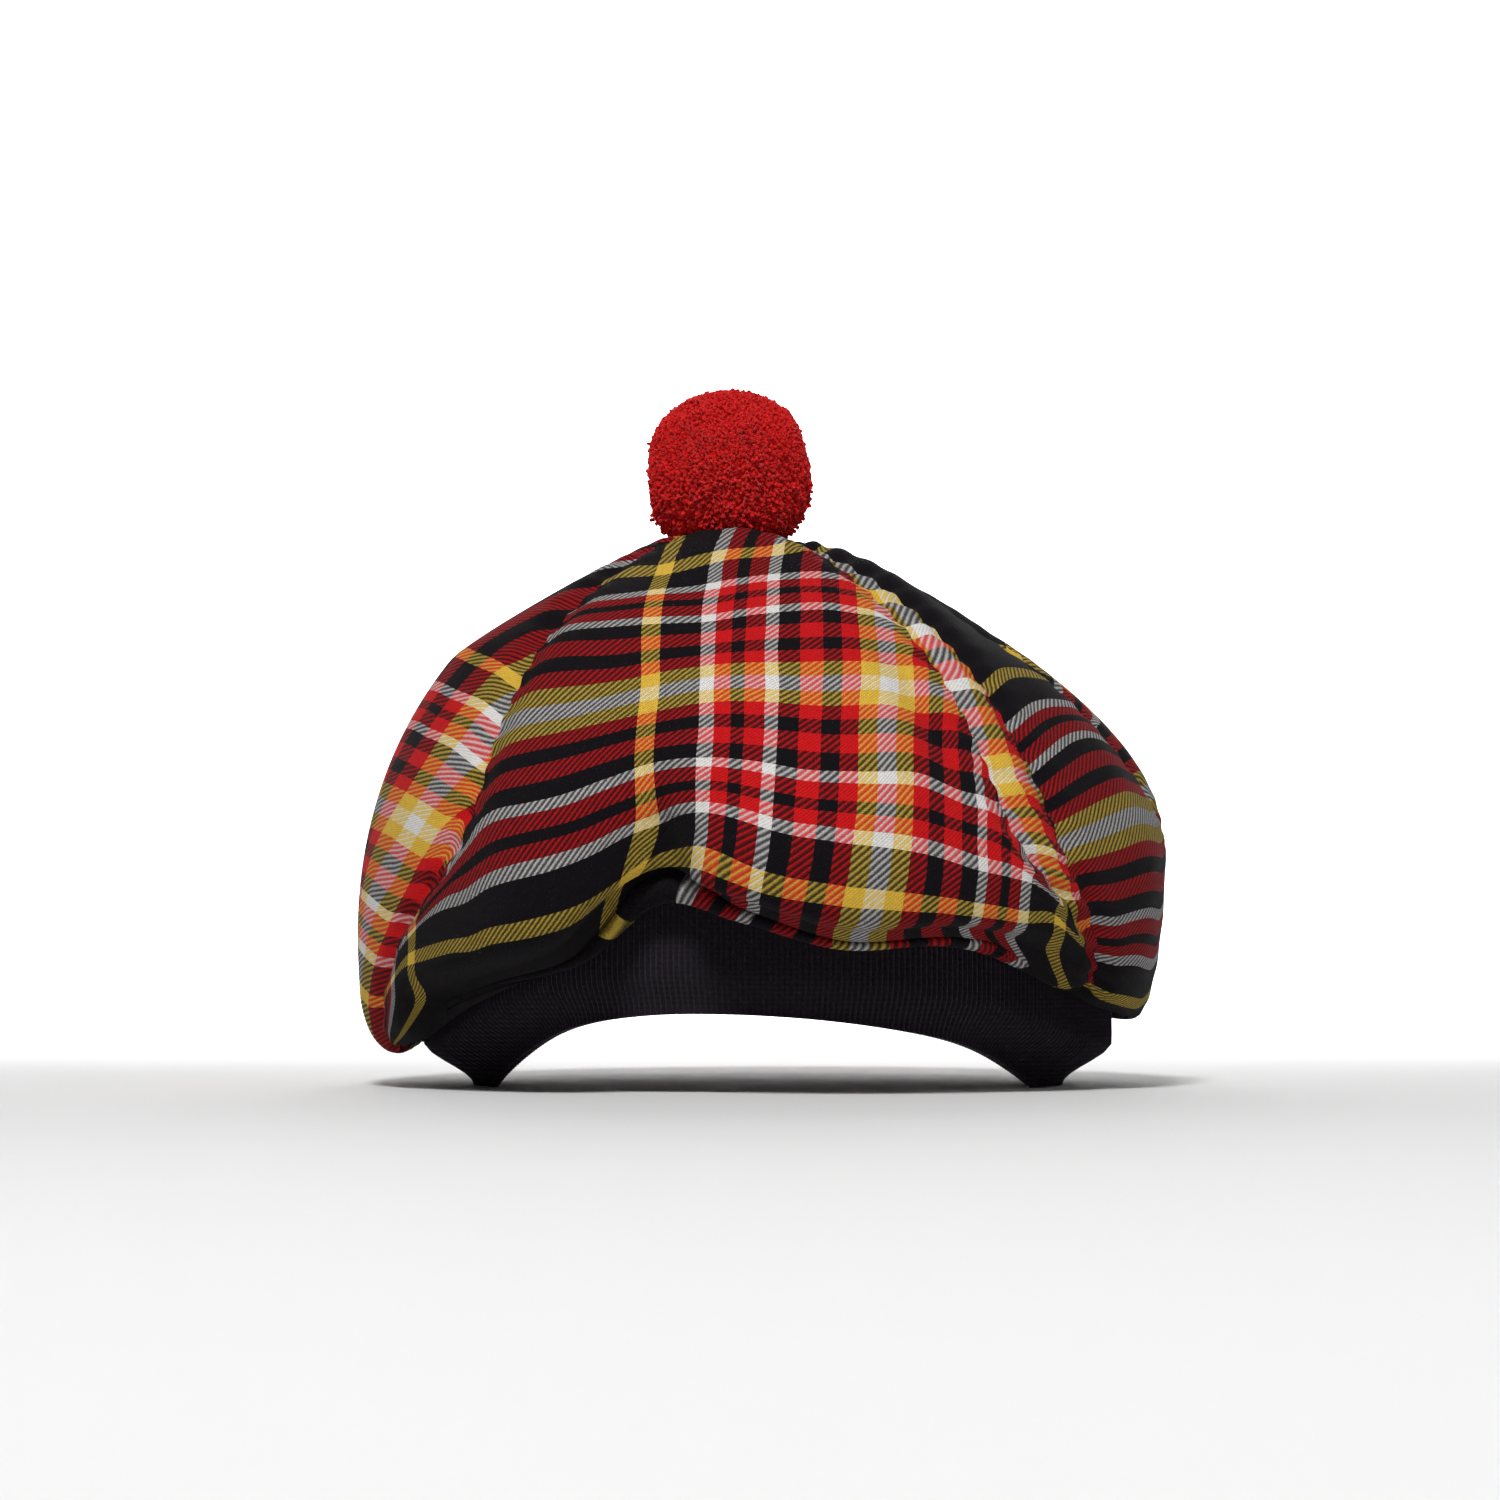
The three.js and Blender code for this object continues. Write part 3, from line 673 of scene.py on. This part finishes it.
# %% Gores and strip
MARKS = {
    # node: (azimuth, share of the meridian, across, along), None where only one is known
    "gore_rear_right": [(110, 0.5, 107, None), (103, 0.27, None, -62.4), (97, 0.41, None, -47.25),
                        (92, 0.50, None, -31.15)],
    "gore_rear": [(167, 0.50, 20, 0)],
    "gore_rear_left": [(-134, 0.42, 60, -20)],
    "gore_front": [
        (-18.2, 0.291, -62.4, -62.4), (-5.8, 0.235, -47.25, -62.4), (14.2, 0.212, -31.15, -62.4),
        (-18.5, 0.324, -62.4, -47.25), (-6, 0.302, -47.25, -47.25), (8.8, 0.273, -31.15, -47.25),
        (-17.2, 0.384, -62.4, -31.15), (-6.5, 0.369, -47.25, -31.15), (6, 0.341, -31.15, -31.15),
        (-15.2, 0.507, -62.4, 0), (-6.8, 0.471, -47.25, 0), (3.2, 0.453, -31.15, 0),
        (22.5, 0.443, 0, 0), (-16.2, 0.607, -62.4, 31.15), (-7.5, 0.582, -47.25, 31.15),
        (1.2, 0.572, -31.15, 31.15), (16.5, 0.567, 0, 31.15), (-16.2, 0.705, -62.4, 47.25),
        (0.2, 0.649, -31.15, 47.25), (14.2, 0.645, 0, 47.25), (-1.5, 0.726, -31.15, 62.4),
        (12.8, 0.721, 0, 62.4), (-54.8, 0.727, -151.6, 62.4), (32, 0.543, 31.15, None),
        (27.5, 0.679, 31.15, 47.25), (33.5, 0.513, 31.15, None), (-44, 0.231, None, -62.4),
        (-32, 0.303, None, -47.25), (-41, 0.314, None, -47.25), (-27.2, 0.362, None, -31.15),
        (-40.8, 0.357, None, -31.15), (-22.5, 0.497, None, 0), (-28.5, 0.483, None, 0),
        (-35.2, 0.483, None, 0), (-21.8, 0.611, None, 31.15), (-26.2, 0.603, None, 31.15),
        (-31.2, 0.598, None, 31.15), (-38, 0.599, None, 31.15), (-44.2, 0.602, None, 31.15),
        (-21.8, 0.703, None, 47.25), (-26.2, 0.678, None, 47.25), (-31, 0.672, None, 47.25),
        (-37.5, 0.669, None, 47.25), (-46.2, 0.682, None, 47.25), (-22.2, 0.758, None, 62.4),
        (-26.8, 0.739, None, 62.4), (-31.8, 0.731, None, 62.4), (-38.2, 0.727, None, 62.4),
        (-47, 0.726, None, 62.4), (-17.5, 0.765, None, 62.4), (-15, 0.746, None, 62.4),
        (-9.8, 0.718, None, 62.4), (-5.5, 0.724, None, 62.4), (5, 0.575, None, 31.15),
        (10, 0.57, None, 31.15), (22, 0.568, None, 31.15), (4, 0.647, None, 47.25),
        (8.8, 0.645, None, 47.25), (19.8, 0.651, None, 47.25), (23, 0.661, None, 47.25),
        (3.8, 0.724, None, 62.4), (7.2, 0.721, None, 62.4), (18.5, 0.725, None, 62.4),
        (22.8, 0.728, None, 62.4), (0, 0.287, None, -47.25), (23.5, 0.27, None, -47.25),
        (18.2, 0.328, None, -31.15), (24, 0.338, None, -31.15), (38.8, 0.174, None, -62.4),
        (12.2, 0.445, None, 0), (29.8, 0.438, None, 0), (18.2, 0.513, 0, None),
        (13.2, 0.687, 0, None), (-0.8, 0.695, -31.15, None), (-7, 0.545, -47.25, None),
        (-8, 0.624, -47.25, None), (-16, 0.569, -62.4, None), (2, 0.522, -31.15, None),
        (0.5, 0.61, -31.15, None), (-12, 0.797, -47.25, None),
    ],
    "gore_left": [
        (-41.5, 0.47, 0, -47.25), (-44, 0.518, 0, -31.15), (-49, 0.551, 0, None),
        (-53.8, 0.588, 0, 0), (-59.5, 0.628, 0, None), (-69, 0.655, 0, 31.15),
        (-42.2, 0.419, -5.5, -62.4), (-58.2, 0.387, None, -62.4), (-60.8, 0.427, None, -47.25),
        (-59.2, 0.482, None, -31.15), (-58, 0.686, None, 31.15), (-66.5, 0.718, None, 47.25),
        (-57, 0.563, -5.5, -5.5), (-48, 0.586, 5.5, -5.5), (-51.5, 0.611, 5.5, 5.5),
        (-61.8, 0.587, -5.5, 5.5), (-50, 0.633, 10.7, 10.7), (-59.5, 0.699, 10.7, 35.4),
    ],
    "gore_right": [
        (62, 0.55, 107, None), (44.5, 0.432, None, -62.4), (48, 0.419, None, -62.4),
        (54.2, 0.407, None, -62.4), (58.2, 0.411, None, -62.4), (43, 0.483, None, -47.25),
        (45.8, 0.472, None, -47.25), (52, 0.456, None, -47.25), (57.2, 0.454, None, -47.25),
        (61.2, 0.46, None, -47.25), (42.2, 0.537, None, -31.15), (45, 0.526, None, -31.15),
        (50, 0.51, None, -31.15), (55.2, 0.499, None, -31.15), (60.5, 0.498, None, -31.15),
        (66, 0.507, None, -31.15), (43.8, 0.624, None, 0), (47.2, 0.615, None, 0),
        (52.2, 0.609, None, 0), (57.5, 0.605, None, 0), (64.5, 0.607, None, 0),
        (85, 0.619, None, 0), (49.5, 0.718, None, 31.15), (52.2, 0.726, None, 31.15),
        (55.5, 0.722, None, 31.15), (61.5, 0.724, None, 31.15), (50.8, 0.774, None, 47.25),
        (55, 0.763, None, 47.25), (59.2, 0.761, None, 47.25), (66.2, 0.766, None, 47.25),
    ],
    "side_strip": [
        (43.8, 0.348, 5.5, -47.25), (40.5, 0.435, 5.5, -31.15), (35.5, 0.552, 5.5, 0),
        (39, 0.642, 5.5, 31.15), (36.2, 0.436, 0, -31.15), (34.2, 0.523, 0.5, None),
        (36.2, 0.637, 0, 31.15), (41.2, 0.732, 0, 62.4),
    ],
}
GORES = [
    # node, from seam, to seam, columns, azimuth of its middle, -1 if its back faces out
    ("gore_front", "left", "front", 150, -3.5, 1),
    ("side_strip", "front", "strip", 26, 36.0, 1),
    ("gore_right", "strip", "right", 90, 62.0, 1),
    ("gore_rear_right", "right", "rear_right", 100, 110.0, -1),
    ("gore_rear", "rear_right", "rear_left", 110, 167.0, 1),
    ("gore_rear_left", "rear_left", "far_left", 110, -134.0, 1),
    ("gore_left", "far_left", "left", 100, -71.0, 1),
]
ROWS = 190
# Rows start just off the crown's middle and lie a little closer together near the band.
FIRST_SHARE, ROW_POWER, LEAST_RADIUS = 0.02, 0.97, 3.0
# The part of the columns' spacing that is eased, so they lie closer beside both seams.
EASED_PART = 0.2


def cloth_panel(node, first, last, columns, centre, face):
    """A gore: a grid between two seams, its inner face one wall in, with its cloth place."""
    t = np.linspace(FIRST_SHARE, 1.0, ROWS)[:, None] ** ROW_POWER
    start, end = seam_azimuth(first, t), seam_azimuth(last, t)
    radius = np.maximum(look_up(RADIUS_TABLE, start, t), LEAST_RADIUS)
    inset = np.degrees(SEAM_GAP / 2 / radius)
    span = (end - start) % 360 - 2 * inset
    s = np.linspace(0, 1, columns)[None, :]
    azimuth = start + inset + span * ((1 - EASED_PART) * s + EASED_PART * smooth(s))
    t = np.broadcast_to(t, azimuth.shape)
    outer = crown(azimuth, t)
    inner = outer - outward(crown, azimuth, t) * CLOTH_WALL
    points = np.concatenate([outer.reshape(-1, 3), inner.reshape(-1, 3)])
    uv = cloth_place(azimuth, t, centre, MARKS[node], face).reshape(-1, 2)
    piece = mesh_piece(node + "_cloth", points, panel_quads(ROWS, columns), np.tile(uv, (2, 1)))
    piece.data.materials.append(tartan.material)
    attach(piece, "root")
    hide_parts(node)
    return piece


for row in GORES:
    made = cloth_panel(*row)
    print(made.name, len(made.data.polygons), "faces")

# %% [markdown]
# Rib knit is columns of stitches that stand up side by side. At this size the columns are
# real relief: the wall's radius follows a wave, once for each rib. The small stitches
# along a rib are bump, with painted shade between them, because they are finer than any mesh should
# be.

# %% Headband
RIBS = 366
RIB_DEPTH = 0.32
RIB_STEPS = 6
RIB_END = 0.8
RISE_STEP = 0.2
STITCH, LINT_SCALE = 0.65, 1400.0
KNIT_DARK, KNIT_PALE = (0.0055, 0.004, 0.0065, 1), (0.022, 0.016, 0.025, 1)


def band_points():
    """Rows up the outer face, over the top and down the inner face, for each column."""
    azimuth = np.linspace(-180, 180, RIBS * RIB_STEPS, endpoint=False)[None, :]
    height = band_height(azimuth)
    up = np.array([0, 0.02, 0.06, 0.12, 0.18, 0.25, 0.33, 0.42, 0.52, 0.63, 0.75, 0.88, 0.97, 1])
    down = np.array([1, 0.97, 0.8, 0.6, 0.45, 0.33, 0.22, 0.12, 0.04, 0])
    wave = np.cos(np.radians(azimuth) * RIBS)
    outer_rise, inner_rise = up[:, None] * height, down[:, None] * height
    soft = np.minimum(1, np.minimum(outer_rise, height - outer_rise) / RIB_END)
    outer = band_outer(azimuth, outer_rise) + RIB_DEPTH * (wave - 1) * soft
    above = band_outer(azimuth, inner_rise + RISE_STEP)
    below = band_outer(azimuth, inner_rise - RISE_STEP)
    slope = (above - below) / (2 * RISE_STEP)
    inner = band_outer(azimuth, inner_rise) - BAND_WALL * np.sqrt(1 + slope**2)
    inner = inner + RIB_DEPTH * (1 - wave) * 0.5
    r = np.concatenate([outer, inner])
    z = np.concatenate([outer_rise, inner_rise]) + arch_height(azimuth)
    angle = np.radians(azimuth)
    return np.stack([r * np.sin(angle), -r * np.cos(angle), z], -1)


def knit_finish():
    """Near black yarn: short level stitches as bump and as painted shade between them, and a little
    lint.
    """
    finish = Finish("rib_knit_yarn", roughness=0.95, sheen=0.10)
    body = finish.node("ShaderNodeTexCoord", output=3)
    upright = finish.node("ShaderNodeSeparateXYZ", None, {0: body}, output=2) * 1000.0
    lint = finish.noise(body, LINT_SCALE)
    stitch = (upright + lint * 0.5).zigzag(STITCH)
    # Painted shade: paler on each stitch and darker between stitches; lint adds random tone.
    share = (lint * 0.9 + stitch * 0.2).clamped()
    colour = finish.mix(share, KNIT_DARK, KNIT_PALE)
    finish.set("Base Color", colour)
    finish.bump(stitch * 0.6 + lint, strength=0.6)
    return finish


knit = knit_finish()
band_grid = band_points()
loops = grid_quads(len(band_grid) + 1, band_grid.shape[1], closed=True) % band_grid[..., 0].size
band = mesh_piece("headband_knit", band_grid.reshape(-1, 3), loops[:, ::-1])
band.data.materials.append(knit.material)
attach(band, "root")
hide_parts("headband")
print(RIBS, "ribs of", round(2 * np.pi * BAND_HALF_WIDTH / RIBS, 2), "mm")

# %% [markdown]
# A pompom is thousands of cut yarn ends. Hair particles would show them, but only real
# meshes can be exported, so each tuft is a short blunt spike of its own. A spiral spreads
# them evenly over the ball, and seeded random numbers tilt, lengthen and shade them. A
# smooth ball inside them fills the gaps between their roots.

# %% Pompom
POMPOM_X, POMPOM_RADIUS = -11.0, 23.2
POMPOM_HEIGHT, POMPOM_TOP = 43.7, 196.7
# The sine's power at the ball's foot and how much it grows to the top, then its lumps.
LEAST_POWER, POWER_GROWTH = 0.36, 0.52
BROAD_LUMP, FINE_LUMP, HEIGHT_LUMP = 0.022, 0.018, 0.35
# How far below the top the tufts' common middle lies, as a share of the height.
CORE_DEPTH = 0.52
TUFTS, TUFT_SIDES, SPIRAL_JITTER = 13000, 3, 0.12
TUFT_LENGTH, TUFT_RADIUS = 4.2, 0.62
# Shares of a tuft's radius at foot and tip, and how far below the tip it is widest.
FOOT_PART, TIP_PART, SHOULDER = 0.7, 0.45, 0.25
# How far tufts turn at random and in clumps, and how far their tips stand in or out.
TILT, CLUMP_TILT, TIP_INSET, TIP_SPREAD, LOW_SPREAD = 0.13, 0.10, 0.5, 0.28, 0.4
# The clumps and the looser yarn start this far below the top and grow over LOW_RUN.
LOW_START, LOW_RUN, CLUMP_UNIT = 14, 24, 23
# The part of a tuft's tone that is random; the rest is painted shade, darker from its tip down to
# its foot.
TONE_PART = 0.35
PATCH_SCALE, STRAND_SCALE = 160.0, 2200.0
YARN_DARK, YARN_BRIGHT = (0.50, 0.006, 0.008, 1), (0.90, 0.020, 0.018, 1)
BLOB_ROWS, BLOB_COLUMNS, BLOB_INSET, BLOB_POLE = 40, 72, 1.3, 0.02
random = np.random.default_rng(36)


def pompom_surface(angle, polar):
    """Radius as a power of the polar angle's sine, fuller below; height as its cosine."""
    share = 0.5 + 0.5 * np.cos(polar)
    power = LEAST_POWER + POWER_GROWTH * share
    lump = (1 + BROAD_LUMP * np.sin(2 * angle + 1) * np.sin(2 * polar)
            + FINE_LUMP * np.sin(5 * polar + 3 * angle))
    r = POMPOM_RADIUS * lump * np.sin(np.clip(polar, 1e-4, np.pi - 1e-4)) ** power
    uneven = HEIGHT_LUMP * np.sin(3 * angle) * np.sin(polar)
    z = POMPOM_TOP - POMPOM_HEIGHT * (1 - share) + uneven
    return np.stack([POMPOM_X + r * np.sin(angle), -r * np.cos(angle), z], -1)


def tuft_mesh():
    """Three rings for each tuft, at its foot, shoulder and tip, and a face at each end."""
    index = np.arange(TUFTS) + 0.5
    polar = np.arccos(1 - 2 * index / TUFTS)
    angle = np.pi * (1 + 5**0.5) * index + SPIRAL_JITTER * random.standard_normal(TUFTS)
    tip = pompom_surface(angle, polar)
    core = np.array([POMPOM_X, 0, POMPOM_TOP - POMPOM_HEIGHT * CORE_DEPTH])
    way = tip - core
    way /= np.linalg.norm(way, axis=1, keepdims=True)
    x, y, z = tip.T
    clump = np.stack([np.sin(7 * y / CLUMP_UNIT + 5 * z / CLUMP_UNIT),
                      np.sin(6 * x / CLUMP_UNIT + 2),
                      np.sin(8 * x / CLUMP_UNIT + 4 * y / CLUMP_UNIT)], -1)
    low = smooth((POMPOM_TOP - LOW_START - z) / LOW_RUN)[:, None]
    tilt = TILT * random.standard_normal((TUFTS, 3)) * (0.5 + low)
    way += tilt + CLUMP_TILT * clump * low
    way /= np.linalg.norm(way, axis=1, keepdims=True)
    spread = TIP_SPREAD + LOW_SPREAD * low[:, 0]
    tip = tip + way * (random.standard_normal(TUFTS) * spread)[:, None]
    tip = tip - way * TIP_INSET
    foot = tip - way * TUFT_LENGTH
    side = np.cross(way, [0.0, 0.13, 1.0])
    side /= np.linalg.norm(side, axis=1, keepdims=True)
    other = np.cross(way, side)
    turn = np.arange(TUFT_SIDES) * 2 * np.pi / TUFT_SIDES
    spin = turn[None, :] + random.uniform(0, 6.28, TUFTS)[:, None]
    ring = side[:, None] * np.cos(spin)[..., None] + other[:, None] * np.sin(spin)[..., None]
    size = TUFT_RADIUS * random.uniform(0.8, 1.2, TUFTS)[:, None, None]
    rings = [foot[:, None] + ring * size * FOOT_PART,
             tip[:, None] - way[:, None] * SHOULDER + ring * size,
             tip[:, None] + ring * size * TIP_PART]
    points = np.stack(rings, 1).reshape(-1, 3)
    base = (np.arange(TUFTS) * 3 * TUFT_SIDES)[:, None, None]
    corner = np.arange(TUFT_SIDES)
    after = (corner + 1) % TUFT_SIDES
    last = 2 * TUFT_SIDES
    walls = [np.stack([corner, after, after + TUFT_SIDES, corner + TUFT_SIDES], -1) + start
             for start in (0, TUFT_SIDES)]
    quads = (np.concatenate(walls)[None] + base).reshape(-1, 4)
    tops = base[:, 0] + [[last, last + 1, last + 2]]
    feet = base[:, 0] + [[2, 1, 0]]
    tone = np.repeat(random.uniform(0.0, 1.0, TUFTS), 3 * TUFT_SIDES)
    # Painted shade: each tuft darkens from its tip down to its foot, deep in the ball.
    depth = np.tile(np.repeat([0.0, 0.9, 1.0], TUFT_SIDES), TUFTS)
    return points, quads, tops, feet, tone * TONE_PART + depth * (1 - TONE_PART)


def yarn_finish():
    """Red wool with painted shade, darker towards the roots of the tufts, and random tone in soft
    patches.
    """
    finish = Finish("pompom_wool", roughness=0.95, sheen=0.25, sheen_roughness=0.4)
    # The tone attribute carries random tone and painted shade towards the tufts' roots.
    tone = finish.node("ShaderNodeAttribute", {"attribute_name": "tone"}, output=2)
    body = finish.node("ShaderNodeTexCoord", output=3)
    patch = finish.noise(body, PATCH_SCALE)
    share = ((tone - 0.45) * 1.5 + (patch - 0.5) * 0.5).clamped()
    colour = finish.mix(share, YARN_DARK, YARN_BRIGHT)
    finish.set("Base Color", colour)
    finish.bump(finish.noise(body, STRAND_SCALE), strength=0.6)
    return finish


yarn = yarn_finish()
tuft_points, tuft_quads, tuft_tops, tuft_feet, tuft_tone_and_root_shade = tuft_mesh()
blob_polar = np.linspace(BLOB_POLE, np.pi - BLOB_POLE, BLOB_ROWS)[:, None]
blob_angle = np.linspace(0, 2 * np.pi, BLOB_COLUMNS, endpoint=False)[None, :]
blob = pompom_surface(blob_angle + 0 * blob_polar, blob_polar + 0 * blob_angle)
middle = np.array([POMPOM_X, 0, POMPOM_TOP - POMPOM_HEIGHT / 2])
blob = middle + (blob - middle) * (1 - BLOB_INSET / POMPOM_RADIUS)
blob_points = blob.reshape(-1, 3)
blob_quads = grid_quads(BLOB_ROWS, BLOB_COLUMNS, closed=True)
start = len(tuft_points)
top_ring = start + np.arange(BLOB_COLUMNS)
foot_ring = top_ring[::-1] + (BLOB_ROWS - 1) * BLOB_COLUMNS
faces = [tuple(face) for group in (tuft_quads, tuft_tops, tuft_feet, blob_quads + start)
         for face in group] + [tuple(top_ring), tuple(foot_ring)]
pompom_mesh = bpy.data.meshes.new("pompom_tufts")
pompom_points = np.concatenate([tuft_points, blob_points])
pompom_mesh.from_pydata((pompom_points + AXIS) * MM, [], faces)
# The ball inside gets a middle value, so it shows dark red: painted shade between the tufts' roots.
pompom_tone_and_root_shade = np.concatenate([tuft_tone_and_root_shade, np.full(len(blob_points), 0.5)])
layer = pompom_mesh.attributes.new("tone", "FLOAT", "POINT")
layer.data.foreach_set("value", pompom_tone_and_root_shade.astype(np.float32))
pompom = bpy.data.objects.new("pompom_tufts", pompom_mesh)
bpy.context.scene.collection.objects.link(pompom)
pompom_mesh.materials.append(yarn.material)
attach(pompom, "root")
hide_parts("pompom")
print(TUFTS, "tufts,", len(faces), "faces")

# %% [markdown]
# A product photograph hides its corner: floor and wall are one sheet of pale paper with a
# wide bend. The bend is a quarter circle, and the sheet is only staging.

# %% Floor and backdrop
FLOOR_HALF, FLOOR_FRONT, BEND, WALL_TOP, WALL_PLACE = 3.0, -4.0, 0.8, 3.0, 2.4
BEND_STEPS, PAPER = 24, (0.85, 0.85, 0.85, 1)
quarter = np.linspace(0, np.pi / 2, BEND_STEPS)
sweep_y = np.concatenate([[FLOOR_FRONT], WALL_PLACE - BEND + BEND * np.sin(quarter), [WALL_PLACE]])
sweep_z = np.concatenate([[0.0], BEND - BEND * np.cos(quarter), [WALL_TOP]])
sweep_x = np.array([-FLOOR_HALF, FLOOR_HALF])
sides = [sweep_x[None, :], sweep_y[:, None], sweep_z[:, None]]
sweep = np.stack(np.broadcast_arrays(*sides), -1).reshape(-1, 3)
sweep_quads = grid_quads(len(sweep_y), len(sweep_x))[:, ::-1]
paper = mesh_piece("paper_sweep", sweep / MM - AXIS, sweep_quads)
paper_finish = Finish("pale_paper", roughness=0.8, sheen=0.0)
paper_finish.shader.inputs["Base Color"].default_value = PAPER
paper.data.materials.append(paper_finish.material)
print("paper sweep", paper.dimensions[:])

# %% [markdown]
# The main light is a soft box above and in front, so the crown is bright and the cloth
# that turns under falls into shade. A weak one fills from the right, and one lights the
# paper behind. The camera stands low, a metre away, with a long lens.

# %% Lights and camera


def soft_box(name, place, aim, size, power, spread=180.0):
    """An area light that points from its place to its aim."""
    light = bpy.data.lights.new(name, "AREA")
    light.shape = "DISK"
    light.size = size
    light.energy = power
    light.spread = np.radians(spread)
    lamp = bpy.data.objects.new(name, light)
    lamp.location = place
    lamp.rotation_euler = (Vector(aim) - Vector(place)).to_track_quat("-Z", "Y").to_euler()
    bpy.context.scene.collection.objects.link(lamp)


AIM = (0.0, 0.0, 0.09)
WORLD_STRENGTH = 0.06
CAMERA_SIDE, CAMERA_DISTANCE, CAMERA_HEIGHT, TARGET_HEIGHT = -5.0, 1000.0, 30.0, 94.2
LENS, SENSOR = 85, 36
soft_box("key", (-0.2, -1.2, 1.5), AIM, 0.4, 25)
soft_box("fill", (1.4, -1.2, 1.2), AIM, 1.0, 3)
soft_box("backdrop", (0.0, 0.9, 2.2), (0.0, 2.4, 0.3), 1.6, 75, spread=110.0)

world = bpy.data.worlds.new("studio")
world.use_nodes = True
sky = world.node_tree.nodes["Background"]
sky.inputs["Color"].default_value = (1, 1, 1, 1)
sky.inputs["Strength"].default_value = WORLD_STRENGTH
bpy.context.scene.world = world
bpy.context.scene.view_settings.view_transform = "Standard"

eye = Vector((AXIS[0] + CAMERA_SIDE, AXIS[1] - CAMERA_DISTANCE, CAMERA_HEIGHT)) * MM
target = Vector((AXIS[0] + CAMERA_SIDE, AXIS[1], TARGET_HEIGHT)) * MM
camera_data = bpy.data.cameras.new("camera")
camera_data.lens = LENS
camera_data.sensor_width = SENSOR
camera = bpy.data.objects.new("camera", camera_data)
camera.location = eye
camera.rotation_euler = (target - eye).to_track_quat("-Z", "Y").to_euler()
bpy.context.scene.collection.objects.link(camera)
bpy.context.scene.camera = camera
print("camera at", camera.location[:])

# %% [markdown]
